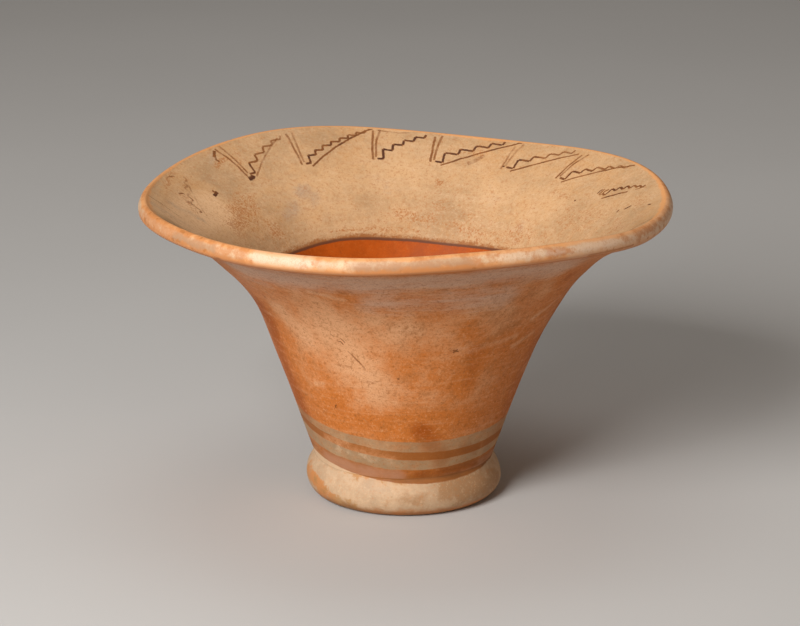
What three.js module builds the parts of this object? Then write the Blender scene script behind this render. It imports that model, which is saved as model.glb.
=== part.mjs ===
// A hand-built pottery bowl that flares like a trumpet, on a hollow ring foot.
// Millimetres, +Z up, origin at the centre of the foot's resting face.
//
// The pot is made of the pieces of clay that the potter luted together: a ring foot, a floor disc,
// three courses of wall, a rim coil, and two thin coils pressed into the angles of the floor.
// Each piece is a revolved section, and all of them share one gentle hand-made unevenness,
// so they stay seated on each other all the way round.
import * as THREE from 'three';

// Driving dimensions

const SEGMENTS = 72;              // steps round the bowl
const RIM_RADIUS = 164.8;         // outside of the lip
const RIM_HEIGHT = 194;           // mean height of the lip's ridge
const LIP_HEIGHT = 10.5;          // from the lip's lower edge up to its ridge
const LIP_RIDGE = 4.4;            // the ridge stands this far in from the outside of the lip
const LIP_EDGE = 2.8;             // and the lower edge this far
const WALL = 7;                   // thickness of the wall, measured square to it
const LUTE = 0.3;                 // slip-filled seam between two pieces of clay

const NECK_RADIUS = 56;           // crease where the wall stands on the foot
const NECK_HEIGHT = 25;
const FOOT_BULGE_RADIUS = 61.4;   // widest part of the foot
const FOOT_BULGE_HEIGHT = 10.6;
const FOOT_REST_RADIUS = 52.2;    // outside edge of the resting face
const FOOT_HOLLOW_RADIUS = 45.2;  // inside edge of the resting face
const FOOT_WALL = 10;             // thickness of the foot at its bulge
const FOOT_SEAT_RADIUS = 46.4;    // inside of the foot where the floor lies on it

const FLOOR = 9;                  // thickness of the floor disc
const FLOOR_BEVEL_LOW = 5;        // the disc's edge rises this far above the neck outside
const FLOOR_BEVEL_HIGH = 7;       // and the first course starts this far above it inside
const SCARF = 4;                  // a joint is this much higher inside the wall than outside
const LOWER_TOP = 84;             // heights on the outside of the wall where the courses meet
const MIDDLE_TOP = 138;
const WALL_END_RADIUS = 154.8;    // outside of the wall where it meets the lip
const WALL_END_HEIGHT = 182.8;

const FILLET = 11;                // reach of the coil along the floor and up the wall
const FILLET_HOLLOW = 3;          // how far its face curves in towards the corner
const LUTING = 8;                 // reach of the coil under the floor

// Unevenness of the hand-made form

const RIM_WAVES = [               // rises of the rim: how many round the bowl, how high, and where
  { count: 1, height: 1.5, at: 252 },
  { count: 2, height: 2.1, at: 115 },
  { count: 3, height: 1.5, at: 15 },
  { count: 4, height: 2.1, at: 27 },
];
const WAVE_START = 0.4 * RIM_HEIGHT;  // the rises fade out below this height
const LEAN = 1.1;                 // the rim stands this far to the right of the foot
const BELLY_SHIFT = 1.8;          // the turn of the wall bulges a little more to the right
const BELLY_HEIGHT = 128;
const BELLY_REACH = 22;
const FOOT_TILT = 1.4;            // the foot's bulge is this much higher on the left, lower on the right

// The outside of the wall is one long curve that rises steeply and then turns outwards

const WALL_CURVE = new THREE.CubicBezierCurve(
  new THREE.Vector2(NECK_RADIUS, NECK_HEIGHT),
  new THREE.Vector2(97.4, 140.7),
  new THREE.Vector2(94.9, 142.7),
  new THREE.Vector2(WALL_END_RADIUS, WALL_END_HEIGHT),
);

// Where along the wall curve the outside reaches a height
function wallParameter(height) {
  let low = 0;
  let high = 1;
  for (let step = 0; step < 40; step += 1) {
    const middle = (low + high) / 2;
    if (WALL_CURVE.getPoint(middle).y < height) low = middle;
    else high = middle;
  }
  return (low + high) / 2;
}

// A point of the wall: t along the curve, depth into the clay from the outside, along the square line
function wallPoint(t, depth) {
  const outside = WALL_CURVE.getPoint(t);
  const tangent = WALL_CURVE.getTangent(t);
  return new THREE.Vector2(outside.x - tangent.y * depth, outside.y + tangent.x * depth);
}

function wallRun(from, to, depth, steps) {
  const points = [];
  for (let step = 0; step <= steps; step += 1) {
    points.push(wallPoint(from + (to - from) * step / steps, depth));
  }
  return points;
}

// Smooth blend from 0 at low to 1 at high
function smooth(value, low, high) {
  const s = Math.min(Math.max((value - low) / (high - low), 0), 1);
  return s * s * (3 - 2 * s);
}

function leanAt(height) {
  const belly = Math.exp(-(((height - BELLY_HEIGHT) / BELLY_REACH) ** 2));
  return LEAN * smooth(height, 0, WALL_END_HEIGHT) + BELLY_SHIFT * belly;
}

function riseAt(angle, height) {
  let rise = 0;
  for (const wave of RIM_WAVES) {
    rise += wave.height * Math.cos(wave.count * (angle - THREE.MathUtils.degToRad(wave.at)));
  }
  return rise * smooth(height, WAVE_START, RIM_HEIGHT);
}

function footTiltAt(angle, height) {
  if (height <= 0 || height >= NECK_HEIGHT) return 0;
  return -FOOT_TILT * Math.cos(angle) * Math.sin(Math.PI * height / NECK_HEIGHT);
}

// Revolve a closed section of (radius, height) points about the upright axis, then give it the
// unevenness that the whole pot shares. The section runs anticlockwise seen with the radius to the right.
function revolve(section) {
  const profile = section.map((point) => new THREE.Vector2(point.x, point.y));
  if (profile[0].x > 0) profile.push(profile[0].clone());
  const geometry = new THREE.LatheGeometry(profile, SEGMENTS);
  geometry.rotateX(Math.PI / 2);
  const place = geometry.attributes.position;
  for (let index = 0; index < place.count; index += 1) {
    const x = place.getX(index);
    const y = place.getY(index);
    const z = place.getZ(index);
    const angle = Math.atan2(y, x);
    place.setXYZ(index, x + leanAt(z), y, z + riseAt(angle, z) + footTiltAt(angle, z));
  }
  geometry.computeVertexNormals();
  return geometry;
}

function section(...runs) {
  return runs.flat();
}

function point(radius, height) {
  return new THREE.Vector2(radius, height);
}

// A bend of the outline between two points, with the two points that pull it
function bend(start, pullStart, pullEnd, end, steps) {
  return new THREE.CubicBezierCurve(start, pullStart, pullEnd, end).getPoints(steps);
}

// The ring foot: a hollow pedestal with a flat resting face, a rounded bulge and a crease at the neck

const FOOT_TOP = NECK_HEIGHT - LUTE;
const footBulge = point(FOOT_BULGE_RADIUS, FOOT_BULGE_HEIGHT);
const footOutside = section(
  bend(
    point(FOOT_REST_RADIUS, 0),
    point(FOOT_REST_RADIUS + 5.4, 0.6),
    point(FOOT_BULGE_RADIUS, FOOT_BULGE_HEIGHT / 2),
    footBulge,
    7,
  ),
  bend(
    footBulge,
    point(FOOT_BULGE_RADIUS, FOOT_BULGE_HEIGHT + 5.2),
    point(NECK_RADIUS + 2.8, FOOT_TOP - 4),
    point(NECK_RADIUS, FOOT_TOP),
    7,
  ).slice(1),
);
const footHollow = point(FOOT_BULGE_RADIUS - FOOT_WALL, FOOT_BULGE_HEIGHT);
const footInside = section(
  bend(
    point(FOOT_SEAT_RADIUS, FOOT_TOP),
    point(FOOT_SEAT_RADIUS + 2, FOOT_TOP - 4),
    point(footHollow.x, footHollow.y + 4),
    footHollow,
    5,
  ),
  bend(
    footHollow,
    point(footHollow.x, footHollow.y / 2),
    point(FOOT_HOLLOW_RADIUS + 3, 0.6),
    point(FOOT_HOLLOW_RADIUS, 0),
    5,
  ).slice(1),
);

// The floor disc, with a bevelled edge that the first course of wall is seated on

const FLOOR_TOP = NECK_HEIGHT + FLOOR;
const wellRadius = wallPoint(wallParameter(NECK_HEIGHT + FLOOR_BEVEL_HIGH), WALL).x;
const floorSection = section(
  point(0, NECK_HEIGHT),
  wallRun(0, wallParameter(NECK_HEIGHT + FLOOR_BEVEL_LOW), 0, 1),
  point(wellRadius, FLOOR_TOP),
  point(0, FLOOR_TOP),
);

// The first course stands on the floor's bevel

const lowerSection = section(
  wallRun(
    wallParameter(NECK_HEIGHT + FLOOR_BEVEL_LOW + LUTE),
    wallParameter(LOWER_TOP - LUTE / 2),
    0,
    5,
  ),
  wallRun(
    wallParameter(LOWER_TOP + SCARF - LUTE / 2),
    wallParameter(NECK_HEIGHT + FLOOR_BEVEL_HIGH),
    WALL,
    5,
  ),
  point(wellRadius, FLOOR_TOP + LUTE),
);

// The second course, between two sloping joints, as scarfed clay has

const middleSection = section(
  wallRun(wallParameter(LOWER_TOP + LUTE / 2), wallParameter(MIDDLE_TOP - LUTE / 2), 0, 6),
  wallRun(
    wallParameter(MIDDLE_TOP + SCARF - LUTE / 2),
    wallParameter(LOWER_TOP + SCARF + LUTE / 2),
    WALL,
    6,
  ),
);

// The flaring course ends in a face square to the wall, where the rim coil is luted on

const upperSection = section(
  wallRun(wallParameter(MIDDLE_TOP + LUTE / 2), 1, 0, 8),
  wallRun(1, wallParameter(MIDDLE_TOP + SCARF + LUTE / 2), WALL, 8),
);

// The rim coil: an overhanging lip with an undercut below it, a nearly upright rounded face,
// and a ridge from which the inside of the flare runs straight down

const endTangent = WALL_CURVE.getTangent(1);
const lipRootOut = wallPoint(1, 0).addScaledVector(endTangent, LUTE);
const lipRootIn = wallPoint(1, WALL).addScaledVector(endTangent, LUTE);
const lipRidge = point(RIM_RADIUS - LIP_RIDGE, RIM_HEIGHT);
const lipFace = new THREE.SplineCurve([
  point(RIM_RADIUS - LIP_EDGE, RIM_HEIGHT - LIP_HEIGHT),
  point(RIM_RADIUS - 0.6, RIM_HEIGHT - 0.8 * LIP_HEIGHT),
  point(RIM_RADIUS, RIM_HEIGHT - 0.5 * LIP_HEIGHT),
  point(RIM_RADIUS - 0.9, RIM_HEIGHT - 0.24 * LIP_HEIGHT),
  point(RIM_RADIUS - 2.4, RIM_HEIGHT - 0.06 * LIP_HEIGHT),
  lipRidge,
  lipRidge.clone().lerp(lipRootIn, 0.2),
]).getPoints(11);
const lipSection = section(lipRootOut, lipFace, lipRootIn);

// The coil pressed into the inside angle of floor and wall

const filletFloor = point(wellRadius - FILLET, FLOOR_TOP + LUTE);
const filletLow = wallPoint(wallParameter(NECK_HEIGHT + FLOOR_BEVEL_HIGH + 1), WALL + LUTE);
const filletHigh = wallPoint(wallParameter(NECK_HEIGHT + FLOOR_BEVEL_HIGH + FILLET), WALL + LUTE);
const filletPull = point(filletHigh.x - FILLET_HOLLOW, FLOOR_TOP + FILLET_HOLLOW / 2);
const filletSection = section(
  filletFloor,
  point(wellRadius - LUTE, FLOOR_TOP + LUTE),
  filletLow,
  new THREE.QuadraticBezierCurve(filletHigh, filletPull, filletFloor).getPoints(4).slice(0, -1),
);

// The coil pressed into the angle under the floor, inside the foot

const lutingCorner = point(FOOT_SEAT_RADIUS - LUTE, FOOT_TOP);
const lutingLow = point(FOOT_SEAT_RADIUS + 1, FOOT_TOP - 0.7 * LUTING);
const lutingFar = point(FOOT_SEAT_RADIUS - LUTING, FOOT_TOP);
const lutingPull = point(FOOT_SEAT_RADIUS - 0.3 * LUTING, FOOT_TOP - 0.25 * LUTING);
const lutingSection = section(
  lutingCorner,
  new THREE.QuadraticBezierCurve(lutingFar, lutingPull, lutingLow).getPoints(4),
);

// Clay and slip colours

const terracotta = { color: 0xbb7247, roughness: 0.62, metalness: 0 };
const creamSlip = { color: 0xd3a479, roughness: 0.55, metalness: 0 };
const bareClay = { color: 0xb8744a, roughness: 0.85, metalness: 0 };

const pieces = [
  { name: 'foot_ring', section: section(footOutside, footInside), clay: creamSlip },
  { name: 'foot_luting_coil', section: lutingSection, clay: bareClay },
  { name: 'floor_disc', section: floorSection, clay: bareClay },
  { name: 'floor_fillet_coil', section: filletSection, clay: terracotta },
  { name: 'lower_wall', section: lowerSection, clay: terracotta },
  { name: 'middle_wall', section: middleSection, clay: terracotta },
  { name: 'upper_wall', section: upperSection, clay: terracotta },
  { name: 'rim_lip', section: lipSection, clay: creamSlip },
];

const bowl = new THREE.Group();
for (const piece of pieces) {
  const mesh = new THREE.Mesh(revolve(piece.section), new THREE.MeshStandardMaterial(piece.clay));
  mesh.name = piece.name;
  bowl.add(mesh);
}

export default bowl;
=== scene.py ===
"""Hand-built flaring pottery bowl: surfaces, slips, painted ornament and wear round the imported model."""

import math
from collections import namedtuple

import bmesh
import bpy
import numpy as np
from mathutils import Matrix, Vector


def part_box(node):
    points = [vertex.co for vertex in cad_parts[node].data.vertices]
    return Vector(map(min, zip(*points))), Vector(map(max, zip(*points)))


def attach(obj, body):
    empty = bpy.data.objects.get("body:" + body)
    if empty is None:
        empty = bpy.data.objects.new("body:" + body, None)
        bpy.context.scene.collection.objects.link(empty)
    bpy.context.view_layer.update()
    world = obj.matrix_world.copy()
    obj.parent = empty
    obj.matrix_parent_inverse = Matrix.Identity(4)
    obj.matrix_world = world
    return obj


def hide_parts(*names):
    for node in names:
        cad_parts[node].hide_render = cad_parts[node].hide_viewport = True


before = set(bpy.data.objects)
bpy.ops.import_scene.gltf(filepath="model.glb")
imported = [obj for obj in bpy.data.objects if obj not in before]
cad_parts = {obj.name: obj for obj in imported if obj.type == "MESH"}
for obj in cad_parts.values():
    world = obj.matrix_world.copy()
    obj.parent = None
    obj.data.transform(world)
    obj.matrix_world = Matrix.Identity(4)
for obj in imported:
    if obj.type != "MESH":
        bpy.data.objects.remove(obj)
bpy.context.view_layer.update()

MM = 0.001
RIM_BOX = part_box("rim_lip")
INSIDE = "inside"
OUTSIDE = "outside"

bl_info = {
    "name": "Flaring bowl",
    "version": (1, 1, 0),
    "blender": (4, 5, 0),
    "location": "View3D > Sidebar > Bowl",
    "description": "Models a slip-painted flaring pottery bowl and its studio",
    "category": "Add Mesh",
}


# Form of the pot, in millimetres

STEPS_ROUND = 720
LIP_STEPS_ROUND = 1080
SECTORS = 24
WALL_PULLS = ((97.4, 140.7), (94.9, 142.7))
WALL_END = (154.8, 182.8)
COURSE_TOPS = (84.0, 138.0)
SCARF = 4.0

LIP_HEIGHT = 10.5
LIP_RIDGE = 4.4
LIP_EDGE = 2.8
COVE = 1.3
COVE_LOW = 152.0

FOOT_REST = 52.2
FOOT_HOLLOW = 45.2
FOOT_BULGE = (61.4, 10.6)
FOOT_WALL = 10.0
FOOT_SEAT = 46.4

FLOOR = 9.0
FLOOR_BEVEL_LOW = 5.0
FLOOR_BEVEL_HIGH = 7.0
FILLET = 11.0
FILLET_HOLLOW = 3.0
LUTING = 8.0

# Unevenness of the hand-made form

RIM_WAVES = ((1, 1.5, 252), (2, 2.1, 115), (3, 1.5, 15), (4, 2.1, 27))
WAVE_START = 0.4
LEAN = 1.1
BELLY_SHIFT = 1.8
BELLY_HEIGHT = 128.0
BELLY_REACH = 22.0
FOOT_TILT = 1.4
RIPPLES = 22
RIPPLE_HEIGHT = 0.12
RIPPLE_SEED = 4

# Painted bands on the outside: the levels of their five edges where the wall is seen edge on,
# how they drift round the pot, and how much more each edge drifts

BAND_EDGES = (26.3, 35.6, 42.8, 48.7, 55.9)
BAND_DRIFT = ((1, -4.0, 2.0), (2, 2.1, -0.4))
BAND_SKEW = (0.2, 0.8, -1.4, -1.3, 0.9)

# Painted line between the well and the flare

WELL_LINE = 136.3


class BowlForm(bpy.types.PropertyGroup):
    """Sizes of the pot that a user would change"""

    rim_radius: bpy.props.FloatProperty(
        name="Rim radius",
        description="Outside of the lip",
        default=(RIM_BOX[1].y - RIM_BOX[0].y) / 2,
        unit="LENGTH",
    )
    rim_height: bpy.props.FloatProperty(
        name="Rim height",
        description="Mean height of the lip's ridge",
        default=0.194,
        unit="LENGTH",
    )
    wall: bpy.props.FloatProperty(
        name="Wall",
        description="Thickness of the wall, measured square to it",
        default=0.007,
        unit="LENGTH",
    )
    neck_radius: bpy.props.FloatProperty(
        name="Neck radius",
        description="Crease where the wall stands on the foot",
        default=0.056,
        unit="LENGTH",
    )
    neck_height: bpy.props.FloatProperty(
        name="Neck height",
        description="Height of the crease over the foot",
        default=0.025,
        unit="LENGTH",
    )


def colour_property(name, description, default):
    return bpy.props.FloatVectorProperty(
        name=name, description=description, default=default, size=3, min=0, max=1, subtype="COLOR")


class BowlColours(bpy.types.PropertyGroup):
    """Slip, paint and clay colours"""

    orange: colour_property("Orange slip", "Burnished slip of the outside", (0.51, 0.155, 0.03))
    tan: colour_property("Pale orange slip", "Thin and paler places of the orange slip", (0.64, 0.33, 0.165))
    well: colour_property("Well slip", "Deeper orange slip down in the well", (0.40, 0.07, 0.002))
    buff: colour_property("Buff slip", "Slip of the flare's inside", (0.535, 0.33, 0.17))
    cream: colour_property("Cream slip", "Slip of the lip and the foot", (0.62, 0.425, 0.265))
    band: colour_property("Band slip", "Thin cream slip of the two bands", (0.35, 0.233, 0.13))
    clay: colour_property("Fired clay", "Orange-brown clay where slip has worn away", (0.44, 0.15, 0.034))
    paint: colour_property("Brown paint", "Fine lines and the line round the well", (0.085, 0.027, 0.012))
    # Grey-mauve firing clouds; under the lip this tone, lighter than the slip, is also painted light in the
    # lip's shade
    grey_tone: colour_property("Smoke", "Grey and mauve firing clouds", (0.57, 0.37, 0.265))


def smooth(value, low, high):
    share = np.clip((value - low) / (high - low), 0.0, 1.0)
    return share * share * (3 - 2 * share)


def bezier(points, share):
    """Places and unit directions along a cubic curve with four points, at shares from 0 to 1"""
    t = np.atleast_1d(share)
    s = 1 - t
    weights = np.stack((s ** 3, 3 * s * s * t, 3 * s * t * t, t ** 3), 1)
    slopes = np.stack((-3 * s * s, 3 * s * s - 6 * s * t, 6 * s * t - 3 * t * t, 3 * t * t), 1)
    ways = slopes @ np.array(points)
    return weights @ np.array(points), ways / np.linalg.norm(ways, axis=1, keepdims=True)


def bend(points, steps):
    return bezier(points, np.linspace(0, 1, steps + 1))[0]


def spline(points, steps):
    """A smooth run through points, as a uniform Catmull-Rom curve"""
    points = np.array(points)
    last = len(points) - 1
    at = np.linspace(0, last, steps + 1)
    k = np.minimum(at.astype(int), last - 1)
    u = (at - k)[:, None]
    p0, p1, p2, p3 = (points[np.clip(k + shift, 0, last)] for shift in (-1, 0, 1, 2))
    return 0.5 * (2 * p1 + (p2 - p0) * u + (2 * p0 - 5 * p1 + 4 * p2 - p3) * u * u
                  + (3 * p1 - p0 - 3 * p2 + p3) * u ** 3)


def hand_ripples():
    """Seeded ripples left by the potter's hands: height, how many round, how fast up the pot, and turn"""
    rng = np.random.default_rng(RIPPLE_SEED)
    height = RIPPLE_HEIGHT * math.sqrt(2 / RIPPLES)
    return [(height, int(rng.integers(2, 15)), rng.uniform(-0.12, 0.12), rng.uniform(0, math.tau))
            for _ in range(RIPPLES)]


class Face:
    """The inside or the outside of the pot, as a run of (radius, height) points from low to high"""

    def __init__(self, points, outwards):
        self.points = points
        self.run = np.concatenate(((0.0,), np.cumsum(np.linalg.norm(np.diff(points, axis=0), axis=1))))
        ways = np.gradient(points, axis=0)
        ways /= np.linalg.norm(ways, axis=1, keepdims=True)
        self.square = outwards * np.stack((ways[:, 1], -ways[:, 0]), 1)
        self.stretch = np.gradient(self.run) / np.gradient(points[:, 1])

    def at_level(self, level, values):
        return np.interp(level, self.points[:, 1], values)

    def at_run(self, run, values):
        return np.interp(run, self.run, values)


class Pot:
    """The pot's curves, in millimetres, worked out from the form settings"""

    def __init__(self, form):
        rim = form.rim_radius / MM
        height = form.rim_height / MM
        self.wall = form.wall / MM
        self.rim_height = height
        self.neck = (form.neck_radius / MM, form.neck_height / MM)
        self.ridge = (rim - LIP_RIDGE, height)
        self.lip_edge = (rim - LIP_EDGE, height - LIP_HEIGHT)
        self.curve = (self.neck, *WALL_PULLS, WALL_END)
        self.share = np.linspace(0, 1, 1001)
        self.ways = bezier(self.curve, self.share)[1]
        self.skin = self.wall_points(self.share, 0)
        self.lining = self.wall_points(self.share, self.wall)
        root = self.lining[-1]
        self.lip_face = spline((
            self.lip_edge,
            (rim - 0.6, height - 0.8 * LIP_HEIGHT),
            (rim, height - 0.5 * LIP_HEIGHT),
            (rim - 0.9, height - 0.24 * LIP_HEIGHT),
            (rim - 2.4, height - 0.06 * LIP_HEIGHT),
            self.ridge,
            (self.ridge[0] * 0.8 + root[0] * 0.2, self.ridge[1] * 0.8 + root[1] * 0.2),
        ), 66)
        self.foot_face = self.foot_outside()
        rising = self.lip_face[:int(np.argmax(self.lip_face[:, 1])) + 1]
        self.faces = {
            OUTSIDE: Face(np.vstack((self.foot_face[:-1], self.skin, rising)), 1),
            INSIDE: Face(np.vstack((self.lining, self.ridge)), -1),
        }
        self.middle = np.vstack(((self.skin + self.lining) / 2, self.ridge))
        self.ripples = hand_ripples()

    def wall_points(self, share, depth):
        """Points of the wall at shares along its curve, depth into the clay from the outside, which is
        drawn in a little in a shallow cove under the lip"""
        places, ways = bezier(self.curve, share)
        rise = np.clip((places[:, 1] - COVE_LOW) / (WALL_END[1] - COVE_LOW), 0, 1)
        depth = np.maximum(depth, COVE * np.sin(math.pi * rise) ** 2)[:, None]
        return places + depth * np.stack((-ways[:, 1], ways[:, 0]), 1)

    def wall_run(self, start, end, depth, steps):
        """Points of the wall between two heights of its outside"""
        low, high = np.interp((start, end), self.skin[:, 1], self.share)
        return self.wall_points(np.linspace(low, high, steps + 1), depth)

    def foot_outside(self):
        """The foot's rounded bulge, which turns into the wall in a small soft crease at the neck"""
        bulge, middle = FOOT_BULGE
        neck, top = self.neck
        crease = (neck + 1.0, top - 2.5)
        below = bend(((FOOT_REST, 0), (FOOT_REST + 5.4, 0.6), (bulge, middle / 2), FOOT_BULGE), 22)
        above = bend((FOOT_BULGE, (bulge, middle + 5.2), (crease[0] + 2, crease[1] - 2.8), crease), 22)
        turn = bend((crease, (crease[0] - 0.7, crease[1] + 1.0), (neck - 0.25, top - 0.8), self.neck), 10)
        return np.vstack((below, above[1:], turn[1:]))

    def foot_inside(self):
        hollow = (FOOT_BULGE[0] - FOOT_WALL, FOOT_BULGE[1])
        top = self.neck[1]
        above = bend(((FOOT_SEAT, top), (FOOT_SEAT + 2, top - 4), (hollow[0], hollow[1] + 4), hollow), 12)
        below = bend((hollow, (hollow[0], hollow[1] / 2), (FOOT_HOLLOW + 3, 0.6), (FOOT_HOLLOW, 0)), 12)
        return np.vstack((above, below[1:]))

    def placed(self, points):
        """Nominal points moved by the hand-made unevenness that the whole pot shares"""
        x, y, z = points.T
        angle = np.arctan2(y, x)
        radius = np.hypot(x, y)
        rise = sum(tall * np.cos(count * (angle - math.radians(at))) for count, tall, at in RIM_WAVES)
        rise = rise * smooth(z, WAVE_START * self.rim_height, self.rim_height)
        belly = np.exp(-(((z - BELLY_HEIGHT) / BELLY_REACH) ** 2))
        lean = LEAN * smooth(z, 0, WALL_END[1]) + BELLY_SHIFT * belly
        tilt = -FOOT_TILT * np.cos(angle) * np.sin(math.pi * np.clip(z / self.neck[1], 0, 1))
        hand = sum(tall * np.cos(count * angle + up * z + turn) for tall, count, up, turn in self.ripples)
        hand = hand * smooth(z, 2, 16) * smooth(radius, 12, 50)
        way_out, way_up = (np.interp(z, self.skin[:, 1], self.ways[:, k]) for k in (0, 1))
        spread = 1 + hand * way_up / np.maximum(radius, 1)
        return np.stack((x * spread + lean, y * spread, z + rise + tilt - hand * way_out), 1)


# Places where the surface differs, and where light and shade are painted into its colour

Mark = namedtuple("Mark", "kind side place reach strength dent", defaults=(0.0,))
KINDS = ("pale", "deep", "dark", "grey", "worn")


def marks(side, **kinds):
    """Marks on one side of the pot. Each has a place, which is an angle in degrees and a level in mm, or
    two of both for a stripe, then its reach in mm, its strength and, for a chip, its dent in mm."""
    return tuple(Mark(kind, side, *row) for kind, rows in kinds.items() for row in rows)


WALL_MARKS = marks(
    OUTSIDE,
    pale=(
        ((243, 130, 248, 106), 36, 0.9),
        ((266, 130), 22, 0.6),
        ((262, 84, 256, 96), 22, 0.9),
        ((281, 86), 20, 0.4),
        ((304, 132, 300, 140), 24, 0.6),
        # Painted highlight of the key light on the bands' left
        ((230, 42, 262, 37), 10, 0.9),
        ((220, 134, 228, 124), 20, 0.8),
        ((258, 140), 16, 0.7),
        ((246, 78), 13, 0.6),
        # Painted highlight on the bands' left
        ((224, 46, 236, 49), 9, 0.7),
        ((252, 92), 3.0, 1.0),
        ((249, 95.5), 2.6, 1.0),
        ((226, 87, 231, 88), 2.6, 0.9),
        ((242, 160, 252, 156), 3.4, 0.8),
        ((272, 166, 290, 166), 2.6, 0.8),
        ((300, 116, 316, 119), 4.0, 0.8),
        ((317, 112, 328, 118), 3.6, 1.0),
        ((321, 130, 334, 140), 3.6, 1.0),
    ),
    deep=(
        ((206, 66, 332, 64), 18, 0.7),
        # Painted shade along the wall's left edge
        ((204, 60, 200, 130), 26, 1.7),
        ((299, 114, 298, 90), 17, 1.0),
        ((306, 44, 316, 38), 10, 1.2),
        ((278, 28, 318, 28), 10, 1.2),
        # Painted shade under the lip on the right
        ((324, 160), 18, 1.3),
        ((228, 64, 236, 72), 24, 0.9),
        ((293, 127), 22, 0.7),
        # Painted shade over the bands right of the front
        ((278, 60, 292, 38), 17, 1.6),
        ((322, 110, 320, 66), 34, 0.7),
        # Painted shade along the wall's right edge
        ((344, 146, 338, 50), 52, 1.2),
    ),
    dark=(
        ((296, 66), 14, 0.35),
        ((324, 78), 14, 0.35),
        ((219, 76), 8, 0.5),
        ((238, 140, 245, 133), 10, 0.62),
        ((272, 135, 268, 122), 12, 0.72),
        ((242, 125, 245, 120), 4, 0.6),
        ((250, 110, 253, 104), 3.5, 0.5),
        ((288.8, 115.6), 4.2, 1.0, 0.35),
        ((267, 98), 2.2, 0.9),
        ((301, 106), 1.8, 0.9),
        ((235, 73), 2.4, 0.8),
    ),
    worn=(
        ((215, 31, 266, 28), 12, 0.9),
        ((326, 28, 344, 29), 6, 0.5),
    ),
    # Under the lip: a grey-mauve firing cloud whose lighter tone also paints the light that fills the lip's
    # shade
    grey=(
        ((222, 170, 312, 172), 30, 1.0),
        ((260, 154, 300, 152), 24, 0.75),
        ((214, 158, 226, 160), 16, 0.5),
    ),
)

FLARE_MARKS = marks(
    INSIDE,
    deep=(
        ((158, 160, 149, 167), 24, 0.75),
        ((144, 149), 18, 0.75),
        ((92, 151, 60, 145), 9, 0.62),
        ((78, 158, 66, 152), 8, 0.5),
        ((80, 170), 6, 0.85),
        ((41, 172, 33, 171), 5, 0.6),
        ((30, 150, 44, 146), 10, 0.45),
        ((140.5, 188, 145.5, 186), 4.5, 0.9),
        ((137.5, 184, 142, 177), 5, 0.5),
        ((121, 141.6, 85, 142.2), 1.5, 1.0),
        ((168, 190, 160, 192), 5, 0.7),
        ((165, 184, 171, 176), 6, 0.5),
        ((8, 186, 352, 184), 9, 0.5),
        ((79, 186, 70, 186), 5, 0.6),
        ((70, 142, 44, 146), 14, 0.4),
        ((24, 160, 350, 170), 28, 0.5),
    ),
    grey=(
        ((136, 153, 131, 158), 11, 0.8),
        ((125, 165, 122, 161), 13, 0.55),
        ((152, 174, 146, 176), 12, 0.5),
        ((100, 158), 12, 0.4),
        ((185, 191, 186, 176), 9, 0.5),
        ((176, 186, 172, 170), 8, 0.45),
        ((143, 191, 146, 188), 6, 0.6),
    ),
    pale=(
        # Painted light on the shaded left end of the flare's inside
        ((188, 180, 162, 172), 38, 2.0),
        ((122, 172, 88, 172), 26, 0.6),
        ((60, 168, 40, 160), 26, 0.4),
        ((130, 186, 126, 184), 10, 0.5),
    ),
)

LIP_MARKS = marks(
    OUTSIDE,
    worn=(
        ((186, 188, 234, 188), 9, 0.36),
        ((204, 192, 222, 192), 5, 0.4),
        ((196.1, 189.2, 197.2, 188.4), 2.6, 1.0, 0.35),
        ((199.5, 187.6), 2.0, 0.9, 0.2),
        ((212.7, 186.9), 2.8, 1.0, 0.4),
        ((215.6, 187.5), 1.8, 0.9, 0.2),
        ((220.1, 186.0), 2.4, 0.9, 0.3),
        ((224.1, 187.3), 1.8, 0.8, 0.2),
        ((227.9, 184.3), 3.0, 0.9, 0.4),
        ((197.3, 193.6), 2.2, 1.0, 0.45),
        ((202.9, 193.6), 1.8, 1.0, 0.35),
        ((214.9, 193.6, 216, 193.4), 2.2, 1.0, 0.45),
        ((222.1, 193.6), 1.6, 1.0, 0.3),
        ((310.9, 185.0, 325, 186.0), 2.6, 0.75, 0.2),
        ((331.5, 187.1), 2.4, 0.9, 0.3),
        ((341.2, 188.2), 2.4, 0.9, 0.1),
        ((353.8, 190.6), 2.4, 0.8, 0.1),
        ((302, 190.5), 5, 0.45),
        ((284, 186), 4, 0.5),
        ((316, 187, 324, 187), 6, 0.4),
    ),
    deep=(
        ((322, 191, 352, 192), 5, 0.7),
        ((190, 189, 230, 189), 12, 1.0),
        ((262, 186, 284, 186), 8, 1.1),
        ((301, 190, 306, 190), 6, 1.2),
    ),
    grey=(
        ((300, 190, 304, 190), 4, 0.5),
    ),
    pale=(
        # Painted highlight: the key light's sheen on the lip's front left
        ((238, 190.5, 250, 190.5), 8, 1.0),
        # Painted light on the lip's right end, which lies in shade
        ((306, 189, 356, 190), 9, 0.9),
        ((290, 190, 298, 190), 8, 0.7),
    ),
    # Painted shade on the lip's front and left
    dark=(
        ((260, 189, 282, 189), 10, 0.8),
        ((214, 188, 226, 188), 9, 1.0),
        ((222, 185.5, 234, 185.5), 6, 0.8),
    ),
)

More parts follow.
